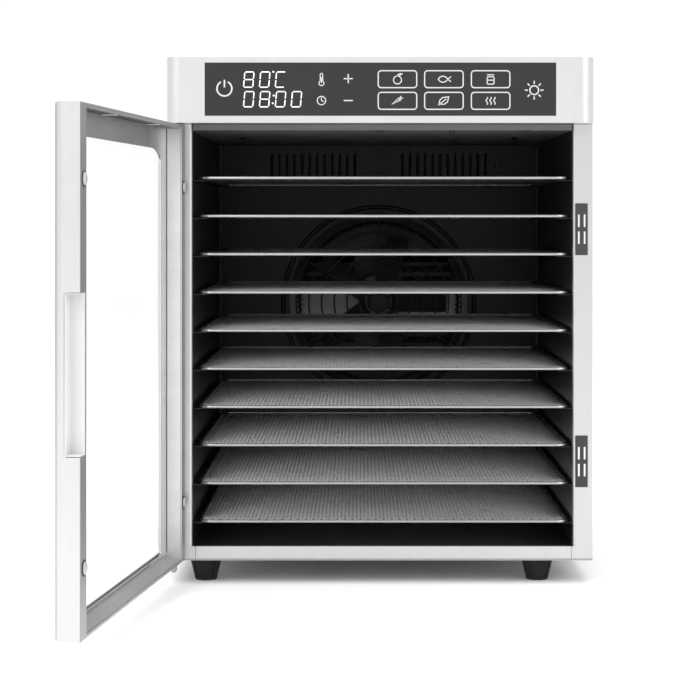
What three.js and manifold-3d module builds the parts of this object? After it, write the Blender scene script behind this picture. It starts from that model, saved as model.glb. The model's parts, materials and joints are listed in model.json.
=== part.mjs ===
// A cabinet food dehydrator: a steel cabinet on four feet with ten sliding wire trays, a heater and a fan
// behind the back wall, a touch panel in the header, and a glazed door hung on its left side.
//
// Everything is placed in the cabinet's own frame, in millimetres: X to the right, Y to the back and Z up,
// with the cabinet's front plane at Y = 0, its middle at X = 0 and the floor at Z = 0. At the end the whole
// object is moved so that the origin is the middle of its footprint with the door standing open.

import * as THREE from 'three';
import { mergeVertices } from 'three/addons/utils/BufferGeometryUtils.js';
import Module from 'manifold-3d';

const wasm = await Module();
wasm.setup();

// ---------------------------------------------------------------- driving dimensions

const GAP = 0.3; // clearance between neighbouring pieces
const SHEET = 0.8; // outer sheet metal
const LINER = 0.6; // inner sheet metal

const CABINET = { left: -225, right: 225, back: 500, bottom: 25, top: 557 };
const BASE_THICKNESS = 1.5;
const OPENING = { left: -199, right: 204, bottom: 40, top: 481 };
const CAVITY_DEPTH = 425;
const PILLAR_RETURN = { inner: 8, outer: 20, edgeRadius: 3 };

const HEADER = { front: -23, bottom: 487.6, wall: 1.5, cornerRadius: 14.5 };
const CONTROL = { halfWidth: 184, bottom: 495.3, top: 550.5, thickness: 3 };

const FOOT = { left: -187, right: 169, front: 35, back: 455, topRadius: 17, bottomRadius: 12 };

const TRAY_COUNT = 10;
const TRAY_PITCH = 40.5;
const TOP_TRAY = 430.5; // height of the uppermost tray's rim centre
const TRAY = { left: -193, right: 201, front: 2, back: 387, rim: 3.5, cornerRadius: 14, mesh: 0.3 };
const LEDGE = { reach: 15, thickness: 1, front: 12, back: 400 };

const FAN = { x: 2.5, z: 283, throat: 112, guard: 120, heater: 100, blade: 86, bladeY: 448 };

const HINGE = { x: -217.7, y: -13.7, pinRadius: 3, hole: 3.4 };
const DOOR_OPEN = 96.65; // degrees that the door stands open
// In the door's own frame U runs from the hinge axis to the free edge and V from outside to inside.
const DOOR = {
  hingeEdge: -7.3, freeEdge: 442.7, outer: -13.7, inner: 10.7, bottom: 27, top: 485.5, wall: 1.2,
};
const FLANGE = { hinge: 10, free: 421, bottom: 29.2, top: 481.5 }; // edges of the inner flanges
const SKIN_WINDOW = { left: 12, right: 419, bottom: 37, top: 478, cornerRadius: 6, lap: 3.5 };
// The inner frame is pressed from one sheet: its sill slopes from its back edge down to its front edge.
const RETAINER = { front: -6.9, thickness: 1.2, sillBack: 34.8, sillFront: 28.8 };
const WINDOW = { left: 38, right: 401, bottom: 38, top: 459, radii: [4, 4, 15, 15], stretch: 2.8 };
const PULL = { bottom: 184, top: 323, u: 425, v: -3.3, wall: 1.2 };

const CATCH = { x: 213.3, halfWidth: 6.3, halfHeight: 27, upper: 376, lower: 130, proud: 2.4, depth: 14 };
const POLE_SLOT = { x: 3.05, z: 8.95, halfWidth: 1, halfHeight: 6.7, depth: 1 };

// ---------------------------------------------------------------- finishes

function finish(color, roughness, metalness) {
  return new THREE.MeshStandardMaterial({ color, roughness, metalness });
}

const shellSteel = finish(0xe6e7e8, 0.38, 0.75);
const frameSteel = finish(0xd3d4d5, 0.34, 0.85);
const innerSteel = finish(0x9b9c9d, 0.4, 0.85);
const linerSteel = finish(0x1d1d1f, 0.32, 0.6);
const ceilingPaint = finish(0x59595b, 0.45, 0);
const wireSteel = finish(0xd9d9d7, 0.22, 1);
const darkGlass = finish(0x48484a, 0.12, 0);
const clearGlass = new THREE.MeshStandardMaterial({
  color: 0xe6eeee, roughness: 0.05, metalness: 0, transparent: true, opacity: 0.3,
});
const blackRubber = finish(0x1a1a1b, 0.85, 0);
const darkPlastic = finish(0x4a4b4d, 0.55, 0);
const palePlastic = finish(0xc9cacb, 0.5, 0);
const circuitBoard = finish(0x1f5a3a, 0.6, 0);
const heaterSteel = finish(0x4d4a47, 0.45, 0.9);
const castAluminium = finish(0x6b6c6d, 0.5, 0.9);
const lampLens = finish(0x5c5a55, 0.25, 0);

// ---------------------------------------------------------------- geometry helpers

/** A box between two corners, each axis given as [low, high]. */
function box([x0, x1], [y0, y1], [z0, z1]) {
  const geometry = new THREE.BoxGeometry(x1 - x0, y1 - y0, z1 - z0);
  return geometry.translate((x0 + x1) / 2, (y0 + y1) / 2, (z0 + z1) / 2);
}

/** Gives a shape of (X, Y) points a height from z0 to z1. */
function extrudeZ(shape, z0, z1, curveSegments = 2) {
  const geometry = new THREE.ExtrudeGeometry(shape, { depth: z1 - z0, bevelEnabled: false, curveSegments });
  return geometry.translate(0, 0, z0);
}

/** Gives a shape of (X, Z) points a depth from y0 to y1. */
function extrudeY(shape, y0, y1, curveSegments = 2) {
  const geometry = new THREE.ExtrudeGeometry(shape, { depth: y1 - y0, bevelEnabled: false, curveSegments });
  return geometry.rotateX(Math.PI / 2).translate(0, y1, 0);
}

/** Gives a shape of (Y, Z) points a width from x0 to x1. */
function extrudeX(shape, x0, x1, curveSegments = 2) {
  const geometry = new THREE.ExtrudeGeometry(shape, { depth: x1 - x0, bevelEnabled: false, curveSegments });
  return geometry.rotateX(Math.PI / 2).rotateZ(Math.PI / 2).translate(x0, 0, 0);
}

/** A closed outline through the points given. */
function outline(points, Kind = THREE.Shape) {
  return new Kind(points.map(([a, b]) => new THREE.Vector2(a, b)));
}

/**
 * A rectangle whose corners have the radii [low-low, high-low, high-high, low-high]; 0 is a sharp corner.
 * The corners are ellipses, longer along the first axis, where stretch is more than 1.
 */
function roundedRectangle(a0, a1, b0, b1, radii, Kind = THREE.Shape, stretch = 1) {
  const [r0, r1, r2, r3] = Array.isArray(radii) ? radii : [radii, radii, radii, radii];
  const quarter = Math.PI / 2;
  const path = new Kind();
  const corner = (a, b, radius, turn) => {
    if (radius > 0) {
      path.absellipse(a, b, radius * stretch, radius, turn * quarter, (turn + 1) * quarter);
    }
  };
  path.moveTo(a0 + r0 * stretch, b0);
  path.lineTo(a1 - r1 * stretch, b0);
  corner(a1 - r1 * stretch, b0 + r1, r1, -1);
  path.lineTo(a1, b1 - r2);
  corner(a1 - r2 * stretch, b1 - r2, r2, 0);
  path.lineTo(a0 + r3 * stretch, b1);
  corner(a0 + r3 * stretch, b1 - r3, r3, 1);
  path.lineTo(a0, b0 + r0);
  corner(a0 + r0 * stretch, b0 + r0, r0, 2);
  return path;
}

/** A round bar along Z. */
function barZ(x, y, z0, z1, radius, sides = 16) {
  const geometry = new THREE.CylinderGeometry(radius, radius, z1 - z0, sides);
  return geometry.rotateX(Math.PI / 2).translate(x, y, (z0 + z1) / 2);
}

/** A round bar along Y. */
function barY(x, z, y0, y1, radius, sides = 16) {
  const geometry = new THREE.CylinderGeometry(radius, radius, y1 - y0, sides);
  return geometry.translate(x, (y0 + y1) / 2, z);
}

/** A turned piece about a vertical axis, from (radius, height) points. */
function turned(profile, sides = 20) {
  const points = profile.map(([radius, height]) => new THREE.Vector2(radius, height));
  return new THREE.LatheGeometry(points, sides).rotateX(Math.PI / 2);
}

/** A closed mesh as a solid that can be joined and cut. */
function solid(geometry) {
  const bare = geometry.clone();
  bare.deleteAttribute('normal');
  bare.deleteAttribute('uv');
  const merged = mergeVertices(bare, 1e-4);
  const corners = merged.index.array;
  const kept = [];
  for (let i = 0; i < corners.length; i += 3) {
    const [a, b, c] = [corners[i], corners[i + 1], corners[i + 2]];
    if (a !== b && b !== c && c !== a) kept.push(a, b, c);
  }
  return new wasm.Manifold(new wasm.Mesh({
    numProp: 3,
    vertProperties: new Float32Array(merged.attributes.position.array),
    triVerts: new Uint32Array(kept),
  }));
}

function geometryOf(body) {
  const mesh = body.getMesh();
  const geometry = new THREE.BufferGeometry();
  geometry.setAttribute('position', new THREE.BufferAttribute(mesh.vertProperties, 3));
  geometry.setIndex(new THREE.BufferAttribute(mesh.triVerts, 1));
  const flat = geometry.toNonIndexed();
  flat.computeVertexNormals();
  return flat;
}

function join(...pieces) {
  return geometryOf(pieces.map(solid).reduce((whole, piece) => whole.add(piece)));
}

/** The part of a piece that lies inside another. */
function within(piece, limit) {
  return geometryOf(solid(piece).intersect(solid(limit)));
}

function cut(piece, ...tools) {
  return geometryOf(tools.map(solid).reduce((whole, tool) => whole.subtract(tool), solid(piece)));
}

const object = new THREE.Group();
const cabinet = new THREE.Group();
const door = new THREE.Group();
object.add(cabinet, door);

function part(name, geometry, material, group = cabinet) {
  const mesh = new THREE.Mesh(geometry, material.clone());
  mesh.name = name;
  group.add(mesh);
  return mesh;
}

// ---------------------------------------------------------------- outer cabinet

const baseTop = CABINET.bottom + BASE_THICKNESS;
const roofBottom = CABINET.top - SHEET;
const wallHeight = [baseTop + GAP, roofBottom - GAP];

function sidePanels() {
  const depth = [SHEET + GAP, CABINET.back - SHEET - GAP];
  part('side_panel_left', box([CABINET.left, CABINET.left + SHEET], depth, wallHeight), shellSteel);
  part('side_panel_right', box([CABINET.right - SHEET, CABINET.right], depth, wallHeight), shellSteel);
}

function basePlate() {
  const plate = box([CABINET.left, CABINET.right], [0, CABINET.back], [CABINET.bottom, baseTop]);
  part('base_plate', plate, frameSteel);
}

function topPanel() {
  const plate = box([CABINET.left, CABINET.right], [0, CABINET.back], [roofBottom, CABINET.top]);
  part('top_panel', plate, shellSteel);
}

const INLET = {
  x: 135, z: 62, flange: [25, 14], body: [18, 11], socket: [12, 8], depth: 20, flangeThickness: 2,
};

function rearCover() {
  const slotHalfLength = 30;
  const slotHeight = 4;
  const slotPitch = 13;
  const slotRows = 10;
  const bankOffset = 62;
  const depth = [CABINET.back - SHEET, CABINET.back];
  const through = [depth[0] - 1, depth[1] + 1];
  const openings = [];
  for (const side of [-1, 1]) {
    const middle = FAN.x + side * bankOffset;
    for (let row = 0; row < slotRows; row += 1) {
      const z = FAN.z + (row - slotRows / 2) * slotPitch;
      openings.push(box([middle - slotHalfLength, middle + slotHalfLength], through, [z, z + slotHeight]));
    }
  }
  const [halfWidth, halfHeight] = INLET.body.map((half) => half + GAP);
  openings.push(box(
    [INLET.x - halfWidth, INLET.x + halfWidth], through, [INLET.z - halfHeight, INLET.z + halfHeight],
  ));
  const cover = box([CABINET.left, CABINET.right], depth, wallHeight);
  part('rear_cover', cut(cover, ...openings), shellSteel);
}

/** A mains inlet: a flange outside the rear cover, a body through it and a socket with three blades. */
function powerInlet() {
  const block = ([halfWidth, halfHeight], y0, y1) => box(
    [INLET.x - halfWidth, INLET.x + halfWidth],
    [y0, y1],
    [INLET.z - halfHeight, INLET.z + halfHeight],
  );
  const outside = CABINET.back + GAP;
  const face = outside + INLET.flangeThickness;
  const socketBottom = face - INLET.depth + 3;
  const housing = join(block(INLET.flange, outside, face), block(INLET.body, face - INLET.depth, face - 1));
  const shell = cut(housing, block(INLET.socket, socketBottom, face + 1));
  const bladePlaces = [[-5.5, -1.5], [5.5, -1.5], [0, 3]];
  const blades = bladePlaces.map(([dx, dz]) => box(
    [INLET.x + dx - 1, INLET.x + dx + 1],
    [socketBottom - 1, socketBottom + 10],
    [INLET.z + dz - 2, INLET.z + dz + 2],
  ));
  part('power_inlet', join(shell, ...blades), blackRubber);
}

/** A folded front upright: a front plate with a rounded inner edge and two flanges turned back. */
function pillarProfile(outerX, innerX) {
  const side = Math.sign(innerX - outerX); // points from the outer edge to the opening
  const r = PILLAR_RETURN.edgeRadius;
  const bent = [];
  const steps = 5;
  for (const [radius, order] of [[r, 1], [r - SHEET, -1]]) {
    const arc = [];
    for (let i = 0; i <= steps; i += 1) {
      const angle = (i / steps) * (Math.PI / 2);
      arc.push([innerX - side * (r - radius * Math.sin(angle)), r - radius * Math.cos(angle)]);
    }
    bent.push(order > 0 ? arc : arc.reverse());
  }
  const flangeOuter = outerX + side * (SHEET + GAP);
  return outline([
    [outerX, 0],
    ...bent[0],
    [innerX, PILLAR_RETURN.inner],
    [innerX - side * SHEET, PILLAR_RETURN.inner],
    ...bent[1],
    [flangeOuter + side * SHEET, SHEET],
    [flangeOuter + side * SHEET, PILLAR_RETURN.outer],
    [flangeOuter, PILLAR_RETURN.outer],
    [flangeOuter, SHEET],
    [outerX, SHEET],
  ]);
}

const SILL = { left: -195.4, right: 202.7 };

function pillars() {
  const height = [baseTop + GAP, HEADER.bottom - GAP];
  const left = extrudeZ(pillarProfile(CABINET.left, OPENING.left), ...height);
  const leftToe = box([OPENING.left - 5, SILL.left - GAP], [0, SHEET], [height[0], OPENING.bottom]);
  part('pillar_left', join(left, leftToe), frameSteel);

  const right = extrudeZ(pillarProfile(CABINET.right, OPENING.right), ...height);
  const rightToe = box([SILL.right + GAP, OPENING.right + 5], [0, SHEET], [height[0], OPENING.bottom]);
  const pockets = [CATCH.upper, CATCH.lower].map((z) => box(
    [CATCH.x - CATCH.halfWidth - GAP, CATCH.x + CATCH.halfWidth + GAP],
    [-1, SHEET + 1],
    [z - CATCH.halfHeight - GAP, z + CATCH.halfHeight + GAP],
  ));
  part('pillar_right', cut(join(right, rightToe), ...pockets), frameSteel);
}

function frontSill() {
  const bottom = baseTop + GAP;
  const face = box([SILL.left, SILL.right], [0, SHEET], [bottom, OPENING.bottom]);
  const flangeDepth = PILLAR_RETURN.inner;
  const upper = box([SILL.left, SILL.right], [0, flangeDepth], [OPENING.bottom - SHEET, OPENING.bottom]);
  const lower = box([SILL.left, SILL.right], [0, flangeDepth], [bottom, bottom + SHEET]);
  part('front_sill', join(face, upper, lower), frameSteel);
}

// ---------------------------------------------------------------- header and controls

/** The box-shaped header: rounded front corners, open at the back, with a window for the control glass. */
function headerBezel() {
  const { front, bottom, wall, cornerRadius: r } = HEADER;
  const back = -GAP;
  const outside = roundedRectangle(CABINET.left, CABINET.right, front, back, [r, r, 0, 0]);
  const inside = roundedRectangle(
    CABINET.left + wall, CABINET.right - wall, front + wall, back + 5, [r - wall, r - wall, 0, 0],
  );
  const block = extrudeZ(outside, bottom, CABINET.top, 8);
  const hollow = extrudeZ(inside, bottom + wall, CABINET.top - wall, 8);
  const window = box(
    [-CONTROL.halfWidth - GAP, CONTROL.halfWidth + GAP],
    [front - 1, front + wall + 1],
    [CONTROL.bottom - GAP, CONTROL.top + GAP],
  );
  const pinHole = barZ(HINGE.x, HINGE.y, bottom - 1, bottom + wall + 1, HINGE.hole);
  part('header_bezel', cut(block, hollow, window, pinHole), shellSteel);
}

const glassBack = HEADER.front + 0.1 + CONTROL.thickness;

function controlGlass() {
  const pane = box(
    [-CONTROL.halfWidth, CONTROL.halfWidth], [HEADER.front + 0.1, glassBack], [CONTROL.bottom, CONTROL.top],
  );
  part('control_glass', pane, darkGlass);
}

/** The touch and display board: a circuit board with the digit module that shows through the glass. */
function controlBoard() {
  const boardFront = glassBack + 3;
  const middle = (CONTROL.bottom + CONTROL.top) / 2;
  const board = box([-170, 170], [boardFront, boardFront + 1.6], [middle - 24, middle + 24]);
  const digits = box([-150, -70], [glassBack + GAP, boardFront + 0.5], [middle - 21, middle + 21]);
  const connector = box([20, 50], [boardFront + 1, boardFront + 9], [middle - 6, middle + 6]);
  part('control_board', join(board, digits, connector), circuitBoard);
}

/** The mains board on the cavity's roof: transformer, relay and capacitor on a board with four posts. */
function powerBoard() {
  const floor = OPENING.top + LINER + GAP;
  const [x0, x1, y0, y1] = [50, 160, 70, 170];
  const boardBottom = floor + 8;
  const boardTop = boardBottom + 1.6;
  const posts = [[x0 + 6, y0 + 6], [x1 - 6, y0 + 6], [x1 - 6, y1 - 6], [x0 + 6, y1 - 6]];
  part('power_board', join(
    box([x0, x1], [y0, y1], [boardBottom, boardTop]),
    box([x0 + 10, x0 + 45], [y0 + 15, y0 + 55], [boardTop - 0.5, boardTop + 30]),
    box([x0 + 60, x0 + 80], [y0 + 20, y0 + 36], [boardTop - 0.5, boardTop + 16]),
    barZ(x0 + 90, y0 + 70, boardTop - 0.5, boardTop + 25, 8, 12),
    ...posts.map(([x, y]) => barZ(x, y, floor, boardBottom + 0.5, 3, 8)),
  ), circuitBoard);
}

// ---------------------------------------------------------------- cavity

function trayHeight(index) {
  return TOP_TRAY - index * TRAY_PITCH;
}

const trayIndexes = [...Array(TRAY_COUNT).keys()];
const cavityFront = PILLAR_RETURN.inner + GAP;
const cavityBack = CAVITY_DEPTH - GAP;

/** A side wall of the cavity with one folded ledge under each tray. */
function linerSide(name, face, side) {
  const across = (from, to) => [Math.min(from, to), Math.max(from, to)];
  const wall = box(across(face, face - side * LINER), [cavityFront, cavityBack], [
    OPENING.bottom + GAP, OPENING.top - GAP,
  ]);
  const ledges = trayIndexes.map((index) => {
    const top = trayHeight(index) - TRAY.rim / 2 - GAP;
    return box(
      across(face - side * LINER / 2, face + side * LEDGE.reach),
      [LEDGE.front, LEDGE.back],
      [top - LEDGE.thickness, top],
    );
  });
  part(name, join(wall, ...ledges), linerSteel);
}

function linerCeiling() {
  const across = [OPENING.left - LINER, OPENING.right + LINER];
  const plate = box(across, [GAP, CAVITY_DEPTH + LINER], [OPENING.top, OPENING.top + LINER]);
  const lip = box(across, [GAP, GAP + LINER], [OPENING.top, HEADER.bottom - GAP]);
  const clearOfPillars = [[across[0] - 1, OPENING.left + GAP], [OPENING.right - GAP, across[1] + 1]].map(
    (x) => box(x, [-1, PILLAR_RETURN.outer + GAP], [OPENING.top - 1, HEADER.bottom + 1]),
  );
  part('liner_ceiling', cut(join(plate, lip), ...clearOfPillars), ceilingPaint);
}

function linerFloor() {
  const plate = box(
    [OPENING.left - LINER, OPENING.right + LINER],
    [cavityFront, CAVITY_DEPTH + LINER],
    [OPENING.bottom - LINER, OPENING.bottom],
  );
  part('liner_floor', plate, linerSteel);
}

/** The back wall: a round throat in front of the fan, and two rows of upright outlet slots above it. */
function linerBack() {
  const slotWidth = 3.2;
  const slotPitch = 9.5;
  const slotsPerSide = 12;
  const firstSlot = 30;
  const slotHeight = [438, 470];
  const through = [CAVITY_DEPTH - 1, CAVITY_DEPTH + LINER + 1];
  const openings = [barY(FAN.x, FAN.z, ...through, FAN.throat, 40)];
  for (const side of [-1, 1]) {
    for (let i = 0; i < slotsPerSide; i += 1) {
      const x = FAN.x + side * (firstSlot + i * slotPitch);
      openings.push(box([x - slotWidth / 2, x + slotWidth / 2], through, slotHeight));
    }
  }
  const wall = box(
    [OPENING.left - LINER, OPENING.right + LINER],
    [CAVITY_DEPTH, CAVITY_DEPTH + LINER],
    [OPENING.bottom + GAP, OPENING.top - GAP],
  );
  part('liner_back', cut(wall, ...openings), linerSteel);
}

/** Two small lamps in the cavity's ceiling. */
function interiorLamps() {
  for (const [name, x] of [['lamp_left', -154], ['lamp_right', 154]]) {
    const lens = turned([[0, -2.6], [3, -2.4], [4.6, -1.2], [5.3, 0], [0, 0]], 14);
    part(name, lens.translate(x, 190, OPENING.top - GAP), lampLens);
  }
}

function temperatureProbe() {
  const [x, z] = [150, 455];
  const stem = barY(x, z, cavityBack - 26, cavityBack - 1, 2.5, 10);
  const collar = barY(x, z, cavityBack - 3, cavityBack, 6, 10);
  part('temperature_probe', join(stem, collar), heaterSteel);
}

// ---------------------------------------------------------------- fan and heater

/** A ring of round wire in an upright plane, facing the front. */
function ring(radius, wire, y, sides = 36, section = 6) {
  const upright = new THREE.TorusGeometry(radius, wire, section, sides).rotateX(Math.PI / 2);
  return upright.translate(FAN.x, y, FAN.z);
}

/** A straight bar from the fan's axis outwards. */
function spoke(angle, from, to, halfWidth, y0, y1) {
  const bar = box([from, to], [y0, y1], [-halfWidth, halfWidth]);
  return bar.rotateY(angle).translate(FAN.x, 0, FAN.z);
}

function fanGuard() {
  const rimWire = 2.6;
  const wire = 1.3;
  const y = cavityBack - rimWire;
  const spokes = [];
  for (let i = 0; i < 6; i += 1) {
    spokes.push(spoke((i + 0.5) * (Math.PI / 3), 0, FAN.guard, 1.2, y - 1, y + 1));
  }
  const rings = [30, 60, 90].map((radius) => ring(radius, wire, y, 28, 5));
  const hub = barY(FAN.x, FAN.z, y - 1.4, y + 1.4, 12, 16);
  part('fan_guard', join(ring(FAN.guard, rimWire, y), ...rings, ...spokes, hub), heaterSteel);
}

function heaterRing() {
  const y = 434;
  const terminal = (x) => barY(x, FAN.z - FAN.heater, y, y + 24, 2.5, 10);
  const terminals = [terminal(FAN.x - 8), terminal(FAN.x + 8)];
  part('heater_ring', join(ring(FAN.heater, 4, y, 36, 8), ...terminals), heaterSteel);
}

const bracketY = 460;

/** A bridge across the throat, standing on the back of the cavity wall, that carries the motor. */
function motorBracket() {
  const [reach, foot, thickness, halfHeight] = [117, 10, 1.6, 16];
  const front = CAVITY_DEPTH + LINER + GAP;
  const bridge = outline([
    [-reach - foot, front],
    [-reach + thickness, front],
    [-reach + thickness, bracketY],
    [reach - thickness, bracketY],
    [reach - thickness, front],
    [reach + foot, front],
    [reach + foot, front + thickness],
    [reach, front + thickness],
    [reach, bracketY + thickness],
    [-reach, bracketY + thickness],
    [-reach, front + thickness],
    [-reach - foot, front + thickness],
  ]);
  const plate = extrudeZ(bridge, -halfHeight, halfHeight).translate(FAN.x, 0, FAN.z);
  const hole = barY(FAN.x, FAN.z, bracketY - 1, bracketY + thickness + 1, 9);
  part('motor_bracket', cut(plate, hole), innerSteel);
}

function fanMotor() {
  const front = bracketY + 1.6 + GAP;
  const can = barY(FAN.x, FAN.z, front, front + 26, 34, 24);
  const cap = barY(FAN.x, FAN.z, front + 25, front + 32, 14, 20);
  const bore = barY(FAN.x, FAN.z, front - 1, front + 17, HINGE.hole);
  part('fan_motor', cut(join(can, cap), bore), castAluminium);
}

/** Five pitched blades on a hub, with the shaft that runs back into the motor. */
function fanRotor() {
  const bladeCount = 5;
  const bladeWidth = 30;
  const pitch = 0.5;
  const hub = barY(0, 0, -7, 7, 17, 20);
  const shaft = barY(0, 0, 0, bracketY + 12 - FAN.bladeY, 3, 12);
  const blades = [];
  for (let i = 0; i < bladeCount; i += 1) {
    const blade = box([10, FAN.blade], [-0.7, 0.7], [-bladeWidth / 2, bladeWidth / 2]);
    blades.push(blade.rotateX(pitch).rotateY(i * ((2 * Math.PI) / bladeCount)));
  }
  const rotor = part('fan_rotor', join(hub, shaft, ...blades), castAluminium);
  rotor.position.set(FAN.x, FAN.bladeY, FAN.z);
}

// ---------------------------------------------------------------- feet, catches and hinges

function feet() {
  const height = CABINET.bottom - GAP;
  const { topRadius, bottomRadius } = FOOT;
  const profile = [
    [0, 0], [bottomRadius - 1, 0], [bottomRadius, 1.5],
    [topRadius, height - 3], [topRadius, height], [0, height],
  ];
  for (const [along, y] of [['front', FOOT.front], ['back', FOOT.back]]) {
    for (const [across, x] of [['left', FOOT.left], ['right', FOOT.right]]) {
      part(`foot_${along}_${across}`, turned(profile, 24).translate(x, y, 0), blackRubber);
    }
  }
}

/** Magnetic catches let into the right upright, each with four shallow slots for its pole plates. */
function magnetCatches() {
  const { halfWidth, halfHeight, depth } = POLE_SLOT;
  for (const [name, z] of [['magnet_catch_upper', CATCH.upper], ['magnet_catch_lower', CATCH.lower]]) {
    const x = [CATCH.x - CATCH.halfWidth, CATCH.x + CATCH.halfWidth];
    const body = box(x, [-CATCH.proud, CATCH.depth], [z - CATCH.halfHeight, z + CATCH.halfHeight]);
    const slots = [[-1, -1], [-1, 1], [1, -1], [1, 1]].map(([across, up]) => {
      const middle = [CATCH.x + across * POLE_SLOT.x, z + up * POLE_SLOT.z];
      return box(
        [middle[0] - halfWidth, middle[0] + halfWidth],
        [-CATCH.proud - 1, -CATCH.proud + depth],
        [middle[1] - halfHeight, middle[1] + halfHeight],
      );
    });
    part(name, cut(body, ...slots), darkPlastic);
  }
}

/** The lower hinge plate under the base, and the upper one inside the header, with their pins. */
function hinges() {
  const plateX = [CABINET.left + 2, CABINET.left + 12.5];
  const hole = (z0, z1) => barZ(HINGE.x, HINGE.y, z0, z1, HINGE.hole);

  const lowerTop = CABINET.bottom - GAP;
  const lowerBottom = lowerTop - 2;
  const lowerPlate = box(plateX, [HEADER.front + 3.5, 14], [lowerBottom, lowerTop]);
  part('hinge_plate_lower', cut(lowerPlate, hole(lowerBottom - 1, lowerTop + 1)), frameSteel);
  const pinTop = DOOR.bottom + 12 - lowerBottom;
  const lowerPin = turned([
    [0, -8.4], [1.6, -8.1], [3, -6.8], [3.5, -5], [3.5, -GAP], [HINGE.pinRadius, -GAP],
    [HINGE.pinRadius, pinTop], [0, pinTop],
  ], 16);
  part('hinge_pin_lower', lowerPin.translate(HINGE.x, HINGE.y, lowerBottom), wireSteel);

  const upperBottom = HEADER.bottom + HEADER.wall + GAP;
  const upperTop = upperBottom + 2;
  const upperX = [CABINET.left + 6, CABINET.left + 35];
  const upperPlate = box(upperX, [HEADER.front + 7, -2], [upperBottom, upperTop]);
  part('hinge_plate_upper', cut(upperPlate, hole(upperBottom - 1, upperTop + 1)), frameSteel);
  const shoulder = upperTop + GAP;
  const headRadius = HINGE.pinRadius + 0.45;
  const upperPin = turned([
    [0, DOOR.top - 12], [HINGE.pinRadius, DOOR.top - 12], [HINGE.pinRadius, shoulder], [headRadius, shoulder],
    [headRadius, shoulder + 3], [0, shoulder + 3],
  ], 16);
  part('hinge_pin_upper', upperPin.translate(HINGE.x, HINGE.y, 0), wireSteel);
}

// ---------------------------------------------------------------- door

/** The door's outer skin: a shallow pan with inner flanges, a window, hinge holes and the pull's notch. */
function doorFrame() {
  const { hingeEdge, freeEdge, outer, inner, bottom, top, wall } = DOOR;
  const pan = (inset) => {
    const bend = (radii) => radii.map((radius) => Math.max(radius - inset, 0.4));
    const [v0, v1] = [outer + inset, inner - inset];
    const plan = roundedRectangle(hingeEdge + inset, freeEdge - inset, v0, v1, bend([9, 11, 1.5, 2]));
    const section = roundedRectangle(v0, v1, bottom + inset, top - inset, bend([4.5, 0.6, 0.6, 4.5]));
    return within(extrudeZ(plan, bottom, top, 6), extrudeX(section, hingeEdge, freeEdge, 3));
  };
  const doorway = box(
    [FLANGE.hinge, FLANGE.free], [inner - wall - 1, inner + 1], [FLANGE.bottom, FLANGE.top],
  );
  const { left, right, bottom: sillHeight, top: headHeight, cornerRadius } = SKIN_WINDOW;
  const window = roundedRectangle(left, right, sillHeight, headHeight, cornerRadius);
  const notch = box(
    [PULL.u - GAP, freeEdge + 1], [PULL.v - GAP, inner + 1], [PULL.bottom - GAP, PULL.top + GAP],
  );
  const axisHole = barZ(0, 0, bottom - 1, top + 1, HINGE.hole);
  part('door_frame', cut(
    pan(0),
    pan(wall),
    doorway,
    extrudeY(window, outer - 1, outer + wall + 1, 5),
    notch,
    axisHole,
  ), shellSteel, door);
}

/** The inner frame: a tray pressed from sheet behind the glass, with a window and a sloping sill. */
function doorRetainer() {
  const { front, thickness, sillBack, sillFront } = RETAINER;
  const wallTop = DOOR.inner - DOOR.wall - GAP;
  const [u0, u1, z1] = [FLANGE.hinge - thickness, FLANGE.free + thickness, FLANGE.top + thickness];
  const slope = (sillFront - sillBack) / (wallTop - front);
  const sill = (v) => sillBack + slope * (v - front);
  const outside = outline([[front, sillBack], [wallTop, sillFront], [wallTop, z1], [front, z1]]);
  const floor = front + thickness;
  const beyond = wallTop + 1;
  const inside = outline([
    [floor, sill(floor) + thickness], [beyond, sill(beyond) + thickness],
    [beyond, z1 - thickness], [floor, z1 - thickness],
  ]);
  const { left, right, bottom, top, radii, stretch } = WINDOW;
  const window = roundedRectangle(left, right, bottom, top, radii, THREE.Shape, stretch);
  part('door_retainer', cut(
    extrudeX(outside, u0, u1),
    extrudeX(inside, u0 + thickness, u1 - thickness),
    extrudeY(window, front - 1, floor + 1, 7),
  ), frameSteel, door);
}

function doorGlass() {
  const thickness = 3.2;
  const v0 = DOOR.outer + DOOR.wall + GAP;
  const { left, right, bottom, top, lap } = SKIN_WINDOW;
  const pane = roundedRectangle(left - lap, right + lap, bottom - lap, top + lap / 2, 4);
  part('door_glass', extrudeY(pane, v0, v0 + thickness, 1), clearGlass, door);
}

/** The finger pull: a cup open to the door's free edge and to its inner side. */
function fingerPull() {
  const { u, v, wall, bottom, top } = PULL;
  const block = box([u, DOOR.freeEdge - 1.2], [v, DOOR.inner - GAP], [bottom, top]);
  const scoop = box([u + wall, DOOR.freeEdge + 1], [v + wall, DOOR.inner + 1], [bottom + wall, top - wall]);
  part('finger_pull', cut(block, scoop), palePlastic, door);
}

// ---------------------------------------------------------------- trays

/** A rim of bent rod: a closed loop with rounded corners and chamfered section. */
function trayRim(z) {
  const { left, right, front, back, rim, cornerRadius } = TRAY;
  const chamfer = 1;
  const loop = roundedRectangle(left, right, front, back, cornerRadius);
  loop.holes.push(
    roundedRectangle(left + rim, right - rim, front + rim, back - rim, cornerRadius - rim, THREE.Path),
  );
  const geometry = new THREE.ExtrudeGeometry(loop, {
    depth: rim - 2 * chamfer,
    bevelThickness: chamfer,
    bevelSize: chamfer,
    bevelOffset: -chamfer,
    bevelSegments: 1,
    curveSegments: 2,
  });
  return geometry.translate(0, 0, z - rim / 2 + chamfer);
}

function trayMesh(z) {
  const inset = TRAY.rim + GAP;
  const sheet = roundedRectangle(
    TRAY.left + inset, TRAY.right - inset, TRAY.front + inset, TRAY.back - inset, TRAY.cornerRadius - inset,
  );
  return extrudeZ(sheet, z - TRAY.mesh / 2, z + TRAY.mesh / 2);
}

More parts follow.
